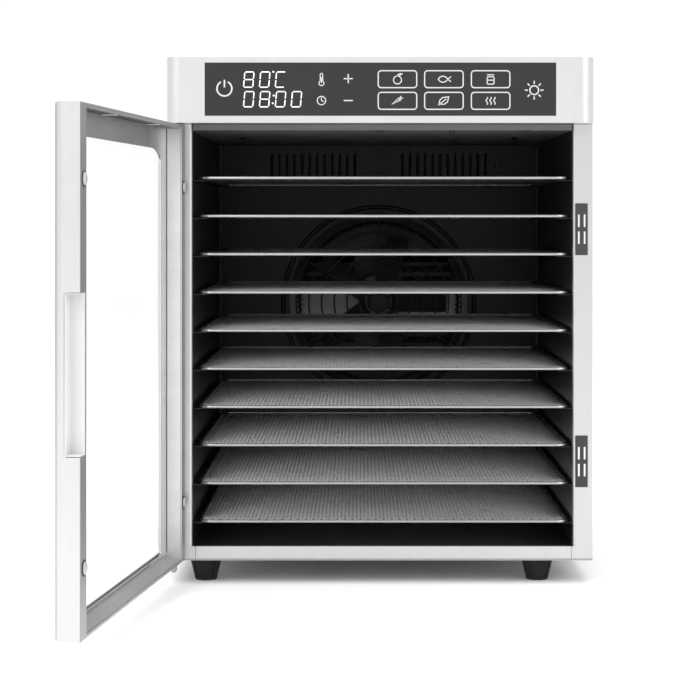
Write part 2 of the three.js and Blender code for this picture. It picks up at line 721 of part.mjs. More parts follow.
function trays() {
  for (const index of trayIndexes) {
    const z = trayHeight(index);
    part(`tray_rim_${index + 1}`, trayRim(z), wireSteel);
    part(`tray_mesh_${index + 1}`, trayMesh(z), wireSteel);
  }
}

// ---------------------------------------------------------------- assembly

sidePanels();
basePlate();
topPanel();
rearCover();
powerInlet();
pillars();
frontSill();
headerBezel();
controlGlass();
controlBoard();
powerBoard();
linerSide('liner_left', OPENING.left, 1);
linerSide('liner_right', OPENING.right, -1);
linerCeiling();
linerFloor();
linerBack();
interiorLamps();
temperatureProbe();
fanGuard();
heaterRing();
motorBracket();
fanMotor();
fanRotor();
feet();
magnetCatches();
hinges();
doorFrame();
doorRetainer();
doorGlass();
fingerPull();
trays();

door.position.set(HINGE.x, HINGE.y, 0);
door.rotation.z = -THREE.MathUtils.degToRad(DOOR_OPEN);

const extent = new THREE.Box3().setFromObject(object, true);
const middle = extent.getCenter(new THREE.Vector3());
object.position.set(-middle.x, -middle.y, -extent.min.z);

export default object;
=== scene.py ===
"""The looks of a cabinet food dehydrator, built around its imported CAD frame.

Pieces are drawn in millimetres and placed in metres where the frame says. They are drawn in the cabinet's axes
(X right, Y back, Z up, zero at the middle of its front plane on the floor) or in the door's (U from hinge to
free edge, V from outside to inside, Z up).
"""

import json
import math

import bmesh
import bpy
from mathutils import Matrix, Vector


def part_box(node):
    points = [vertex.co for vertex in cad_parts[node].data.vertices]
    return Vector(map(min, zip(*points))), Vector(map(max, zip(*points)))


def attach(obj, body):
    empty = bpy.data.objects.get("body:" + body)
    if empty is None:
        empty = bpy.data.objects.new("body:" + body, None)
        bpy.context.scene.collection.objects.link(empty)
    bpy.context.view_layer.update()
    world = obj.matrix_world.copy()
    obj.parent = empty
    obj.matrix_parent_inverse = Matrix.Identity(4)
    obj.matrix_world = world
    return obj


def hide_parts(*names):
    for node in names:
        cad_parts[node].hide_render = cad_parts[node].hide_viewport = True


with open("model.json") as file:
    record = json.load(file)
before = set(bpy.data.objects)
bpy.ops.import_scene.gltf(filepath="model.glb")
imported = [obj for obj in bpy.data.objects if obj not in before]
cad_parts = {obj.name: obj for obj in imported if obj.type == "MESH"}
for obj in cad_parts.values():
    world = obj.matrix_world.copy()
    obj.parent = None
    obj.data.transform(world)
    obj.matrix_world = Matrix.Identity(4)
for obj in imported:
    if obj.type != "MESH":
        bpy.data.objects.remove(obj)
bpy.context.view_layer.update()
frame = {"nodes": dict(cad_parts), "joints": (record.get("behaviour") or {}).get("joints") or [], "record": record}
scene = bpy.context.scene
nodes = frame["nodes"]

# ---------------------------------------------------------------- the frame's places

MM = Matrix.Scale(0.001, 4)
plate_low, plate_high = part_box("base_plate")
CABINET = Matrix.Translation(((plate_low.x + plate_high.x) / 2, plate_low.y, 0)) @ MM
hinge = next(joint for joint in frame["joints"] if joint["name"] == "door_hinge")
DOOR_ANGLE = math.radians(hinge["range_deg"][0])
DOOR = Matrix.Translation((*hinge["pos_m"][:2], 0)) @ Matrix.Rotation(DOOR_ANGLE, 4, "Z") @ MM


def span(node, home=CABINET):
    """A CAD node's lowest and highest corners in the cabinet's millimetres."""
    low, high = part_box(node)
    back = home.inverted()
    return back @ low, back @ high


# ---------------------------------------------------------------- camera

EYE = (-23.5, -2249, 381)  # level, in front of the cabinet at the height of its upper trays
SENSOR = 36
LENS = 109.157
SHIFT_X, SHIFT_Y = -0.011429, -0.179286

camera_data = bpy.data.cameras.new("camera")
camera_data.sensor_width = SENSOR
camera_data.lens = LENS
camera_data.shift_x = SHIFT_X
camera_data.shift_y = SHIFT_Y
camera_data.clip_end = 50
camera = bpy.data.objects.new("camera", camera_data)
camera.location = CABINET @ Vector(EYE)
camera.rotation_euler = (math.pi / 2, 0, 0)
scene.collection.objects.link(camera)
scene.camera = camera

# ---------------------------------------------------------------- shapes


class Shape:
    """Vertices and faces, drawn in millimetres."""

    def __init__(self):
        self.points, self.faces = [], []

    def add(self, points, faces):
        first = len(self.points)
        self.points += [Vector(p) for p in points]
        self.faces += [[first + i for i in face] for face in faces]

    def loft(self, rings, looped=False):
        """Joins rings of equal count, and closes the two ends unless the rings make a loop."""
        count = len(rings[0])
        faces = []
        for i in range(len(rings) if looped else len(rings) - 1):
            a, b = i * count, (i + 1) % len(rings) * count
            faces += [(a + j, a + (j + 1) % count, b + (j + 1) % count, b + j) for j in range(count)]
        if not looped:
            last = (len(rings) - 1) * count
            faces += [list(range(count))[::-1], list(range(last, last + count))]
        self.add([p for ring in rings for p in ring], faces)

    def rod(self, path, radius, sides=8, looped=False, up=(0, 0, 1), turn=0.0):
        """A round rod along a path that lies across the direction up."""
        path = [Vector(p) for p in path]
        up = Vector(up)
        rings = []
        for i, here in enumerate(path):
            before = path[i - 1] if looped or i else here
            after = path[(i + 1) % len(path)] if looped or i + 1 < len(path) else here
            along = (after - before).normalized()
            side = along.cross(up).normalized()
            above = side.cross(along)
            rings.append([
                here + radius * (side * math.cos(a) + above * math.sin(a))
                for a in (turn + 2 * math.pi * k / sides for k in range(sides))
            ])
        self.loft(rings, looped)

    def ribbon(self, path, width, y0, y1, looped=False):
        """A flat line of one width along a path of (X, Z) points, from depth y0 to y1."""
        rings = []
        for i, here in enumerate(path):
            before = path[i - 1] if looped or i else None
            after = path[(i + 1) % len(path)] if looped or i + 1 < len(path) else None
            runs = [Vector(b) - Vector(a) for a, b in ((before, here), (here, after)) if a and b]
            normals = [Vector((-r.y, r.x)).normalized() for r in runs if r.length > 1e-6]
            mean = sum(normals, Vector((0, 0))).normalized()
            reach = width / 2 / max(mean.dot(normals[0]), 0.4)
            left, right = Vector(here) + mean * reach, Vector(here) - mean * reach
            rings.append([
                (left.x, y0, left.y), (right.x, y0, right.y), (right.x, y1, right.y), (left.x, y1, left.y),
            ])
        self.loft(rings, looped)

    def turned(self, profile, middle, sides):
        """A piece turned about the Y axis through its middle, from (radius, distance along Y) points."""
        x, y, z = middle
        turns = [2 * math.pi * k / sides for k in range(sides)]
        self.loft([
            [(x + r * math.cos(a), y + d, z + r * math.sin(a)) for a in turns]
            for r, d in ((max(radius, 0.001), d) for radius, d in profile)
        ])

    def block(self, low, high):
        (x0, y0, z0), (x1, y1, z1) = low, high
        self.loft([[(x0, y0, z), (x1, y0, z), (x1, y1, z), (x0, y1, z)] for z in (z0, z1)])

    def plate(self, outline, d0, d1, axis="Y"):
        """A flat plate of an outline of two coordinates, with its thickness along the axis."""
        place = {
            "X": lambda a, b, d: (d, a, b),
            "Y": lambda a, b, d: (a, d, b),
            "Z": lambda a, b, d: (a, b, d),
        }[axis]
        self.loft([[place(a, b, d) for a, b in outline] for d in (d0, d1)])


def rounded(a0, a1, b0, b1, radius, steps=6):
    """The points of a rectangle with round corners."""
    points = []
    for a, b, turn in ((a1, b0, -1), (a1, b1, 0), (a0, b1, 1), (a0, b0, 2)):
        ca = a - radius if a == a1 else a + radius
        cb = b - radius if b == b1 else b + radius
        for i in range(steps + 1):
            angle = (turn + i / steps) * math.pi / 2
            points.append((ca + radius * math.cos(angle), cb + radius * math.sin(angle)))
    return points


def arc(x, z, radius, start, end, steps=20):
    """Points on an arc about (x, z), its angles in degrees from +X."""
    angles = [math.radians(start + (end - start) * i / steps) for i in range(steps + 1)]
    return [(x + radius * math.cos(a), z + radius * math.sin(a)) for a in angles]


def piece(name, shape, body, material, home=CABINET, replaces=(), bevel=0.0, segments=2, angle=35):
    """Makes a mesh object of a shape, smooth but for its sharp edges, and hands it to the frame."""
    mesh = bpy.data.meshes.new(name)
    mesh.from_pydata([home @ p for p in shape.points], [], shape.faces)
    work = bmesh.new()
    work.from_mesh(mesh)
    bmesh.ops.recalc_face_normals(work, faces=work.faces)
    work.to_mesh(mesh)
    work.free()
    mesh.shade_smooth()
    mesh.set_sharp_from_angle(angle=math.radians(angle))
    obj = bpy.data.objects.new(name, mesh)
    scene.collection.objects.link(obj)
    obj.data.materials.append(material)
    if bevel:
        round_edges(obj, bevel, segments)
    return enlist(obj, body, replaces)


def enlist(obj, body, replaces=()):
    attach(obj, body)
    if replaces:
        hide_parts(*replaces)
    return obj


def round_edges(obj, width, segments=2):
    """Small rounds on an object's sharp edges, width in millimetres."""
    bevel = obj.modifiers.new("edge_round", "BEVEL")
    bevel.width = width * 0.001
    bevel.segments = segments
    bevel.limit_method = "ANGLE"
    bevel.angle_limit = math.radians(32)
    bevel.harden_normals = False
    weighted = obj.modifiers.new("normals", "WEIGHTED_NORMAL")
    weighted.keep_sharp = False
    weighted.weight = 80


# ---------------------------------------------------------------- materials


class Nodes:
    """A material's node tree, with short ways to add to it."""

    def __init__(self, name):
        self.material = bpy.data.materials.new(name)
        self.material.use_nodes = True
        self.tree = self.material.node_tree
        self.shader = self.tree.nodes["Principled BSDF"]

    def feed(self, socket, value):
        """Links an input to another node's output, or sets its value."""
        if isinstance(value, bpy.types.NodeSocket):
            self.tree.links.new(value, socket)
        else:
            socket.default_value = value

    def add(self, kind, **inputs):
        node = self.tree.nodes.new("ShaderNode" + kind)
        for key, value in inputs.items():
            self.feed(node.inputs[key.replace("_", " ")], value)
        return node

    def coordinates(self, scale=(1, 1, 1), turn=0.0):
        place = self.add("TexCoord").outputs["Object"]
        mapping = self.add("Mapping", Vector=place, Scale=scale, Rotation=(0, 0, turn))
        return mapping.outputs["Vector"]

    def noise(self, scale, detail=4.0, rough=0.5, stretch=(1, 1, 1), turn=0.0):
        where = self.coordinates(stretch, turn)
        return self.add("TexNoise", Vector=where, Scale=scale, Detail=detail, Roughness=rough).outputs["Fac"]

    def span(self, value, low, high, start=0.25, end=0.75):
        node = self.add("MapRange", Value=value)
        node.inputs["From Min"].default_value = start
        node.inputs["From Max"].default_value = end
        node.inputs["To Min"].default_value = low
        node.inputs["To Max"].default_value = high
        return node.outputs["Result"]

    def math(self, operation, first, second):
        node = self.add("Math")
        node.operation = operation
        self.feed(node.inputs[0], first)
        self.feed(node.inputs[1], second)
        return node.outputs[0]

    def blend(self, factor, first, second):
        """A mix of two colours, either of which may be a socket."""
        node = self.add("Mix")
        node.data_type = "RGBA"
        self.tree.links.new(factor, node.inputs["Factor"])
        colours = [socket for socket in node.inputs if socket.type == "RGBA"]
        for socket, value in zip(colours, (first, second)):
            self.feed(socket, (*value, 1) if isinstance(value, tuple) else value)
        return [socket for socket in node.outputs if socket.type == "RGBA"][0]

    def reach(self, coordinate, direction):
        """The part of a texture coordinate, Object or Normal, that lies in a direction."""
        node = self.add("VectorMath")
        node.operation = "DOT_PRODUCT"
        self.feed(node.inputs[0], self.add("TexCoord").outputs[coordinate])
        self.feed(node.inputs[1], direction)
        return node.outputs["Value"]

    def facing(self, direction):
        """1 where the surface faces a direction that is fixed to the object, else 0."""
        return self.span(self.reach("Normal", direction), 0, 1, 0.6, 0.8)

    def bump(self, height, strength, distance, below=None):
        node = self.add("Bump", Height=height, Strength=strength, Distance=distance * 0.001)
        if below is not None:
            self.feed(node.inputs["Normal"], below)
        return node.outputs["Normal"]

    def surface(self, **inputs):
        for key, value in inputs.items():
            self.feed(self.shader.inputs[key.replace("_", " ")], value)
        return self.material


def shade(colour, amount):
    return tuple(channel * amount for channel in colour)


def steel(name, colour, rough, grain=(1, 1, 0.02), brush=0.35, variation=0.06, inner=None, outer=None):
    """Sheet steel with a brushed grain, cloudy tone, faint smears and small pits.

    inner is (direction, colour): faces that look that way get the other colour as painted shade, and duller metal.
    outer is a colour painted as shade on the faces that look the opposite way.
    """
    n = Nodes(name)
    streaks = n.noise(900, 3, 0.6, grain)
    clouds = n.noise(7, 4, 0.6)
    smears = n.noise(26, 5, 0.7, (1, 1, 0.4), 0.3)

    def toned(base):
        cloudy = n.blend(n.span(clouds, 0, 1), shade(base, 1 - variation), shade(base, 1 + variation * 0.4))
        return n.blend(n.span(streaks, 0, 0.5), cloudy, shade(base, 1 - variation * 1.6))

    tone = toned(colour)
    metallic = 1.0
    # Painted shade: darker copies of the steel on the faces that look one way or the other.
    if inner:
        painted_shade_in = n.facing(inner[0])
        tone = n.blend(painted_shade_in, tone, toned(inner[1]))
        metallic = n.span(painted_shade_in, 1, 0.45, 0, 1)
    if outer:
        tone = n.blend(n.facing(-Vector(inner[0])), tone, toned(outer))
    roughness = n.math("ADD", n.span(streaks, rough - 0.05, rough + 0.07), n.span(smears, -0.03, 0.05))
    relief = n.bump(streaks, brush, 0.02)
    relief = n.bump(n.noise(2400, 2, 0.5), 0.06, 0.02, relief)
    return n.surface(Base_Color=tone, Metallic=metallic, Roughness=roughness, Normal=relief)


def coated(name, colour, rough, specular=0.5, peel=0.12, fine=900, variation=0.15, metallic=0.0):
    """A painted or moulded surface: orange peel, cloudy tone and dust that dulls the gloss."""
    n = Nodes(name)
    peeled = n.noise(fine, 2, 0.5)
    clouds = n.noise(11, 4, 0.6)
    dust = n.noise(160, 5, 0.75)
    tone = n.blend(n.span(clouds, 0, 1), shade(colour, 1 - variation), shade(colour, 1 + variation))
    speckled = n.blend(n.span(dust, 0, 0.25, 0.55, 0.8), tone, shade(colour, 1 + 2.2 * variation))
    relief = n.bump(peeled, peel, 0.03)
    return n.surface(
        Base_Color=speckled,
        Metallic=metallic,
        Roughness=n.span(dust, rough - 0.05, rough + 0.1),
        Specular_IOR_Level=specular,
        Normal=relief,
    )


def glow(name, colour, strength, rough=0.4):
    """Lit lettering: an even glow with the slight unevenness of printed segments."""
    n = Nodes(name)
    grain = n.noise(700, 2, 0.5)
    tone = n.blend(n.span(grain, 0, 1), shade(colour, 0.86), colour)
    return n.surface(
        Base_Color=tone,
        Emission_Color=tone,
        Emission_Strength=strength,
        Roughness=n.span(grain, rough - 0.05, rough + 0.05),
    )


def clear(name, colour, alpha, rough):
    """Thin clear glass with faint wiping marks."""
    n = Nodes(name)
    wipes = n.noise(30, 5, 0.7, (1, 1, 0.25), 0.4)
    tone = n.blend(n.span(wipes, 0, 1), shade(colour, 0.97), colour)
    return n.surface(
        Base_Color=tone,
        Alpha=alpha,
        Roughness=n.span(wipes, rough, rough + 0.06),
        Normal=n.bump(wipes, 0.02, 0.05),
    )


def circuit(name):
    """Solder mask over copper tracks."""
    n = Nodes(name)
    tracks = n.add("TexBrick", Vector=n.coordinates((1, 1, 1)), Scale=120.0)
    masked = n.blend(tracks.outputs["Fac"], (0.012, 0.075, 0.03), (0.03, 0.16, 0.06))
    height = n.bump(tracks.outputs["Fac"], 0.3, 0.05)
    return n.surface(Base_Color=masked, Roughness=n.span(n.noise(90, 4, 0.6), 0.35, 0.5), Normal=height)


MATERIALS = {
    "shell_steel": steel("shell_steel", (0.66, 0.66, 0.657), 0.36, brush=0.15, variation=0.03),
    "frame_steel": steel("frame_steel", (0.58, 0.58, 0.58), 0.34, brush=0.25, variation=0.04),
    "inner_steel": steel("inner_steel", (0.22, 0.222, 0.225), 0.42, brush=0.4, variation=0.12),
    "liner_steel": coated("liner_steel", (0.015, 0.015, 0.016), 0.3, 0.25, 0.1, 700),
    # Painted light: the ceiling takes a lighter grey than the liner, standing in for light falling on it from the
    # front.
    "ceiling_paint": coated("ceiling_paint", (0.12, 0.12, 0.123), 0.42, 0.35, 0.15, 600, 0.1),
    "bright_wire": steel("bright_wire", (0.44, 0.44, 0.436), 0.28, (0.05, 0.05, 1), brush=0.1, variation=0.1),
    "control_glass": coated("control_glass", (0.019, 0.019, 0.02), 0.12, 0.38, 0.01, 300, 0.05),
    "door_glass": clear("door_glass", (0.94, 0.97, 0.97), 0.1, 0.02),
    "rubber": coated("rubber", (0.012, 0.012, 0.012), 0.7, 0.3, 0.4, 1400, 0.3),
    "dark_plastic": coated("dark_plastic", (0.036, 0.037, 0.039), 0.5, 0.35, 0.3, 1800, 0.1),
    "pale_plastic": coated("pale_plastic", (0.62, 0.625, 0.63), 0.45, 0.4, 0.2, 1500, 0.03),
    "circuit": circuit("circuit"),
    "dark_steel": steel("dark_steel", (0.05, 0.048, 0.046), 0.42, (0.2, 1, 0.2), brush=0.3, variation=0.3),
    "cast_aluminium": coated("cast_aluminium", (0.14, 0.142, 0.145), 0.5, 0.5, 0.5, 1200, 0.08, 1.0),
    "lamp_lens": coated("lamp_lens", (0.02, 0.019, 0.017), 0.22, 0.5, 0.2, 500, 0.05),
}
PRINT = coated("panel_print", (0.58, 0.585, 0.59), 0.5, 0.3, 0.05, 900, 0.04)
DIGITS = glow("display_glow", (0.86, 0.85, 0.83), 0.5)
POLE = steel("pole_steel", (0.82, 0.82, 0.82), 0.3, variation=0.05)
DOOR_INSIDE = (DOOR.to_3x3() @ Vector((0, 1, 0))).normalized()
DOOR_ALONG = (DOOR.to_3x3() @ Vector((1, 0, 0))).normalized()
# The door frame's steel with painted shade: darker on the faces that look into the door, and on those that look
# out.
DOOR_STEEL = steel(
    "door_steel", (0.65, 0.65, 0.647), 0.36, brush=0.2, variation=0.05,
    inner=(DOOR_INSIDE, (0.31, 0.31, 0.315)), outer=(0.42, 0.42, 0.418),
)
# Painted shade: a darker copy of the shell steel for the side, top and base panels, against the strong light on
# them.
PANEL_STEEL = steel("panel_steel", (0.4, 0.4, 0.398), 0.36, brush=0.25, variation=0.06)
# Painted shade: the rear cover, a darker copy of the shell steel, painted near black on the faces that look into
# the cabinet.
COVER_STEEL = steel(
    "cover_steel", (0.4, 0.4, 0.398), 0.36, brush=0.25, variation=0.06,
    inner=((0, -1, 0), (0.02, 0.02, 0.02)),
)


RAIL_START = 91  # U where the top and bottom rails meet the hinge side's stile


def pressed_frame(name):
    """The door's inner frame, one steel with painted light and shade: bright stiles, darker rails brushed along
    the door, and a painted dark shade on the underside at the top.
    """
    n = Nodes(name)
    streaks = n.noise(900, 3, 0.6, (1, 0.02, 1), DOOR_ANGLE + math.pi / 2)
    clouds = n.noise(14, 5, 0.7, (1, 0.3, 2.5), DOOR_ANGLE + math.pi / 2)
    # Painted light and shade on one steel: a bright tone for the stiles and a dark one for the rails.
    stile = n.blend(n.span(clouds, 0, 1), (0.65, 0.65, 0.65), (0.73, 0.73, 0.73))
    rail = n.blend(n.span(clouds, 0, 1), (0.24, 0.24, 0.243), (0.37, 0.37, 0.373))
    # The rail mask: inner faces past the join, and all faces that look up, take the painted dark rail tone.
    join_at = DOOR_ALONG.dot(DOOR @ Vector((RAIL_START, 0, 0)))
    past_join = n.span(n.reach("Object", DOOR_ALONG), 0, 1, join_at, join_at + 0.001)
    rail_shade_mask = n.math("MULTIPLY", past_join, n.facing(DOOR_INSIDE))
    rail_shade_mask = n.math("MAXIMUM", rail_shade_mask, n.facing((0, 0, 1)))
    # Painted shade: faces that look down are painted near black.
    under = n.facing((0, 0, -1))
    tone = n.blend(under, n.blend(rail_shade_mask, stile, rail), (0.05, 0.05, 0.05))
    # Painted shade: faces that look out of the door take a darker tone.
    tone = n.blend(n.facing(-DOOR_INSIDE), tone, (0.4, 0.4, 0.398))
    metal = n.math("SUBTRACT", n.span(rail_shade_mask, 0.95, 0.45, 0, 1), n.span(under, 0, 0.5, 0, 1))
    return n.surface(
        Base_Color=tone,
        Metallic=metal,
        Roughness=n.span(streaks, 0.33, 0.47),
        Normal=n.bump(streaks, 0.4, 0.02),
    )


MESH_WIRE = steel("mesh_wire", (0.40, 0.40, 0.395), 0.3, (0.05, 0.05, 1), brush=0.1, variation=0.15)
SILICONE = coated("clear_silicone", (0.42, 0.425, 0.43), 0.2, 0.7, 0.05, 900, 0.03)
# Painted shade: a dark grey for thin rods laid along the creases of the door's inner frame.
CREASE_SHADE = coated("painted_crease_shade", (0.12, 0.12, 0.122), 0.45, 0.4, 0.2, 1500, 0.1)

# ---------------------------------------------------------------- CAD nodes that stay

EDGE_ROUND = {
    "header_bezel": 0.8, "door_frame": 0.4, "finger_pull": 0.5, "power_inlet": 0.6, "magnet_catch_upper": 0.9,
    "magnet_catch_lower": 0.9, "door_glass": 0.3, "control_glass": 0.2, "top_panel": 0.3, "fan_motor": 1.2,
    "motor_bracket": 0.4, "fan_rotor": 0.5, "hinge_plate_lower": 0.5, "hinge_plate_upper": 0.5,
}
# These nodes take their own materials, which carry painted light and shade.
OWN_MATERIAL = {
    "door_frame": DOOR_STEEL, "door_retainer": pressed_frame("pressed_frame"), "rear_cover": COVER_STEEL,
    "side_panel_left": PANEL_STEEL, "side_panel_right": PANEL_STEEL, "top_panel": PANEL_STEEL,
    "base_plate": PANEL_STEEL,
}
for row in frame["record"]["subparts"]:
    node, slot = row["node"], row["material_slot"]
    obj = nodes[node]
    obj.data.materials.clear()
    obj.data.materials.append(OWN_MATERIAL.get(node, MATERIALS[slot]))
    weld = obj.modifiers.new("weld", "WELD")
    weld.merge_threshold = 0.00001
    flat = obj.modifiers.new("flat_faces", "DECIMATE")
    flat.decimate_type = "DISSOLVE"
    flat.angle_limit = math.radians(0.4)
    round_edges(obj, EDGE_ROUND.get(node, 0.22))

# ---------------------------------------------------------------- trays

TRAY_COUNT = 10
TRAY_CORNER = 14
ROD = 1.75  # radii of the rim's rod and the cloth's wire
WIRE = 0.22
CROSSINGS = 94  # wires each way
low, high = span("tray_rim_1")
TRAY_Z = (low.z + high.z) / 2


def tray_rim():
    """A rod bent into a rounded rectangle."""
    loop = rounded(low.x + ROD, high.x - ROD, low.y + ROD, high.y - ROD, TRAY_CORNER - ROD, 7)
    shape = Shape()
    shape.rod([(x, y, TRAY_Z) for x, y in loop], ROD, 10, looped=True)
    return shape


def woven_cloth():
    """Plain-weave wire cloth: each wire passes over and under the wires that cross it."""
    shape = Shape()
    edge = ROD * 0.9
    spans = [(low.x + edge, high.x - edge), (low.y + edge, high.y - edge)]
    radius = TRAY_CORNER - edge
    for along in (0, 1):
        (a0, a1), (b0, b1) = spans[along], spans[1 - along]
        for j in range(1, CROSSINGS):
            across = b0 + (b1 - b0) * j / CROSSINGS
            depth = max(radius - min(across - b0, b1 - across), 0)
            inset = radius - math.sqrt(max(radius * radius - depth * depth, 0))
            path = []
            for i in range(CROSSINGS + 1):
                place = a0 + (a1 - a0) * i / CROSSINGS
                if i in (0, CROSSINGS):
                    place += inset if i == 0 else -inset
                elif not a0 + inset < place < a1 - inset:
                    continue
                lift = WIRE * (1 if (i + j + along) % 2 else -1)
                point = (place, across) if along == 0 else (across, place)
                path.append((*point, TRAY_Z + lift))
            shape.rod(path, WIRE, 3, up=(0, 0, 1), turn=math.pi / 2)
    return shape


first_rim = piece(
    "tray_rod_1", tray_rim(), "tray_1", MATERIALS["bright_wire"], replaces=["tray_rim_1"],
)
first_cloth = piece(
    "tray_cloth_1", woven_cloth(), "tray_1", MESH_WIRE, replaces=["tray_mesh_1"], angle=100,
)
for index in range(2, TRAY_COUNT + 1):
    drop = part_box(f"tray_rim_{index}")[0].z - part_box("tray_rim_1")[0].z
    for first, name, node in ((first_rim, "tray_rod", "tray_rim"), (first_cloth, "tray_cloth", "tray_mesh")):
        copy = bpy.data.objects.new(f"{name}_{index}", first.data)
        copy.location.z = drop
        scene.collection.objects.link(copy)
        enlist(copy, f"tray_{index}", [f"{node}_{index}"])

# ---------------------------------------------------------------- fan guard and heater

fan_low, fan_high = span("fan_guard")
FAN_X, FAN_Z = (fan_low.x + fan_high.x) / 2, (fan_low.z + fan_high.z) / 2
GUARD_Y = (fan_low.y + fan_high.y) / 2
GUARD_RADIUS = 120
HEATER_RADIUS = 100
COIL_RADIUS = 3.1
COIL_TURNS, COIL_STEPS = 96, 6


def circle(radius, y, steps=72):
    return [(x, y, z) for x, z in arc(FAN_X, FAN_Z, radius, 0, 360, steps)[:-1]]


guard = Shape()
guard.rod(circle(GUARD_RADIUS, GUARD_Y), 2.5, 10, True, up=(0, 1, 0))
for radius in (24, 40, 56, 72, 88, 104):
    guard.rod(circle(radius, GUARD_Y), 1.1, 6, True, up=(0, 1, 0))
for k in range(6):
    angle = math.radians(30 + 60 * k)
    ends = [
        (FAN_X + r * math.cos(angle), GUARD_Y + 1.2, FAN_Z + r * math.sin(angle))
        for r in (11, GUARD_RADIUS - 1)
    ]
    guard.rod(ends, 1.2, 6, up=(0, 1, 0))
HUB = [(0, -1.8), (10, -1.8), (12.5, -1.2), (13, 0), (12.5, 1.2), (0, 1.4)]
guard.turned(HUB, (FAN_X, GUARD_Y, FAN_Z), 32)
piece("guard_wires", guard, "cabinet", MATERIALS["dark_steel"], replaces=["fan_guard"])

heat_low, heat_high = span("heater_ring")
HEATER_Y = heat_low.y + 4
heater = Shape()
coil = []
for k in range(COIL_TURNS * COIL_STEPS):
    a = 2 * math.pi * k / (COIL_TURNS * COIL_STEPS)
    b = 2 * math.pi * k / COIL_STEPS
    r = HEATER_RADIUS + COIL_RADIUS * math.cos(b)
    coil.append((FAN_X + r * math.cos(a), HEATER_Y + COIL_RADIUS * math.sin(b), FAN_Z + r * math.sin(a)))
heater.rod(coil, 0.75, 5, True, up=(0, 1, 0))
heater.rod(circle(HEATER_RADIUS, HEATER_Y, 60), 1.4, 8, True, up=(0, 1, 0))
for side in (-8, 8):
    post = [(0, 0), (2.4, 0), (2.4, 20), (1.4, 21), (1.4, 24), (0, 24)]
    heater.turned(post, (FAN_X + side, HEATER_Y, FAN_Z - HEATER_RADIUS), 14)
piece("heater_coil", heater, "cabinet", MATERIALS["dark_steel"], replaces=["heater_ring"])

# ---------------------------------------------------------------- cavity fittings

back_low, back_high = span("liner_back")
ceiling_low = span("liner_ceiling")[0]
# Rods down the back corners in the lighter ceiling grey: their light tone is a painted highlight on the corner
# seams.
corner_highlight_rods = Shape()
for x in (-196.6, 201.6):
    corner_highlight_rods.rod([(x, back_low.y - 1.6, back_low.z), (x, back_low.y - 1.6, back_high.z)], 1.1, 8, up=(0, 1, 0))
piece("corner_rods_painted_highlight", corner_highlight_rods, "cabinet", MATERIALS["ceiling_paint"])

catch = Shape()
catch.rod([
    (73.9, 7.0, ceiling_low.z), (73.9, 7.0, 474.6), (74.6, 7.0, 473.2), (76.0, 7.0, 472.7), (77.4, 7.0, 473.2),
    (78.1, 7.0, 474.6), (78.1, 7.0, ceiling_low.z),
], 0.6, 6, up=(0, 1, 0))
for x in (-161.0, -0.2, 156.6):
    catch.loft([
        [(x - a, 5.0, z), (x + a, 5.0, z), (x + a, 11.0, z), (x - a, 11.0, z)]
        for a, z in ((4.4, 481.0), (4.2, 479.4), (2.6, 478.4))
    ])
piece("ceiling_clips", catch, "cabinet", MATERIALS["dark_steel"])

# ---------------------------------------------------------------- rear cover

cover_low, cover_high = span("rear_cover")
LOUVRE_ROWS, LOUVRE_PITCH, LOUVRE_HALF_WIDTH, LOUVRE_OFFSET = 10, 13, 31, 62
louvres = Shape()
for x in (FAN_X - LOUVRE_OFFSET, FAN_X + LOUVRE_OFFSET):
    for row_index in range(LOUVRE_ROWS):
        z = FAN_Z + (row_index - LOUVRE_ROWS // 2) * LOUVRE_PITCH
        blade = [(-0.1, 5.2), (-0.1, 4.4), (-6, -2.6), (-6.6, -2.2)]
        louvres.plate(
            [(cover_low.y + b, z + c) for b, c in blade], x - LOUVRE_HALF_WIDTH, x + LOUVRE_HALF_WIDTH, "X",
        )
piece("louvre_blades", louvres, "cabinet", MATERIALS["dark_steel"])

screws = Shape()
HEAD = [(0, -0.3), (3.4, -0.3), (3.4, 0.35), (3.0, 0.95), (1.9, 1.35), (1.5, 1.4), (1.5, 0.7), (0, 0.7)]
for x in (-216, -72, 72, 216):
    for z in (36, 290, 546) if abs(x) == 216 else (36, 546):
        screws.turned(HEAD, (x, cover_high.y, z), 18)
piece("cover_screws", screws, "cabinet", MATERIALS["frame_steel"], angle=50)

# ---------------------------------------------------------------- feet

FOOT_STEPS = 96
FOOT_GROOVES = (45, 135, 225, 315)  # degrees round the foot
FOOT_TOP, FOOT_BASE = 17, 12  # radii


def ribbed_foot(node):
    """A tapered foot of four broad faces, with deep upright grooves between them."""
    lo, hi = span(node)
    x, y = (lo.x + hi.x) / 2, (lo.y + hi.y) / 2
    rings = []
    for share, radius, grooved in (
        (0.0, FOOT_BASE - 1.2, 0), (0.05, FOOT_BASE, 0), (0.09, FOOT_BASE, 0.6), (0.14, FOOT_BASE + 0.3, 1),
        (0.80, FOOT_TOP - 0.7, 1), (0.86, FOOT_TOP - 0.3, 0.6), (0.90, FOOT_TOP, 0), (1.0, FOOT_TOP, 0),
    ):
        ring = []
        for k in range(FOOT_STEPS):
            turn = 360 * k / FOOT_STEPS
            nearest = min(abs(turn - groove) for groove in FOOT_GROOVES)
            dip = 2.4 * grooved * max(1 - nearest / 11, 0) ** 0.5
            a = math.radians(turn)
            ring.append((x + (radius - dip) * math.cos(a), y + (radius - dip) * math.sin(a), share * hi.z))
        rings.append(ring)
    shape = Shape()
    shape.loft(rings)
    return piece(f"ribbed_{node}", shape, "cabinet", MATERIALS["rubber"], replaces=[node], angle=40)


for end in ("front", "back"):
    for side in ("left", "right"):
        ribbed_foot(f"foot_{end}_{side}")

# ---------------------------------------------------------------- controls

glass_low, glass_high = span("control_glass")
PRINT_Y = (glass_low.y, glass_low.y - 0.08)


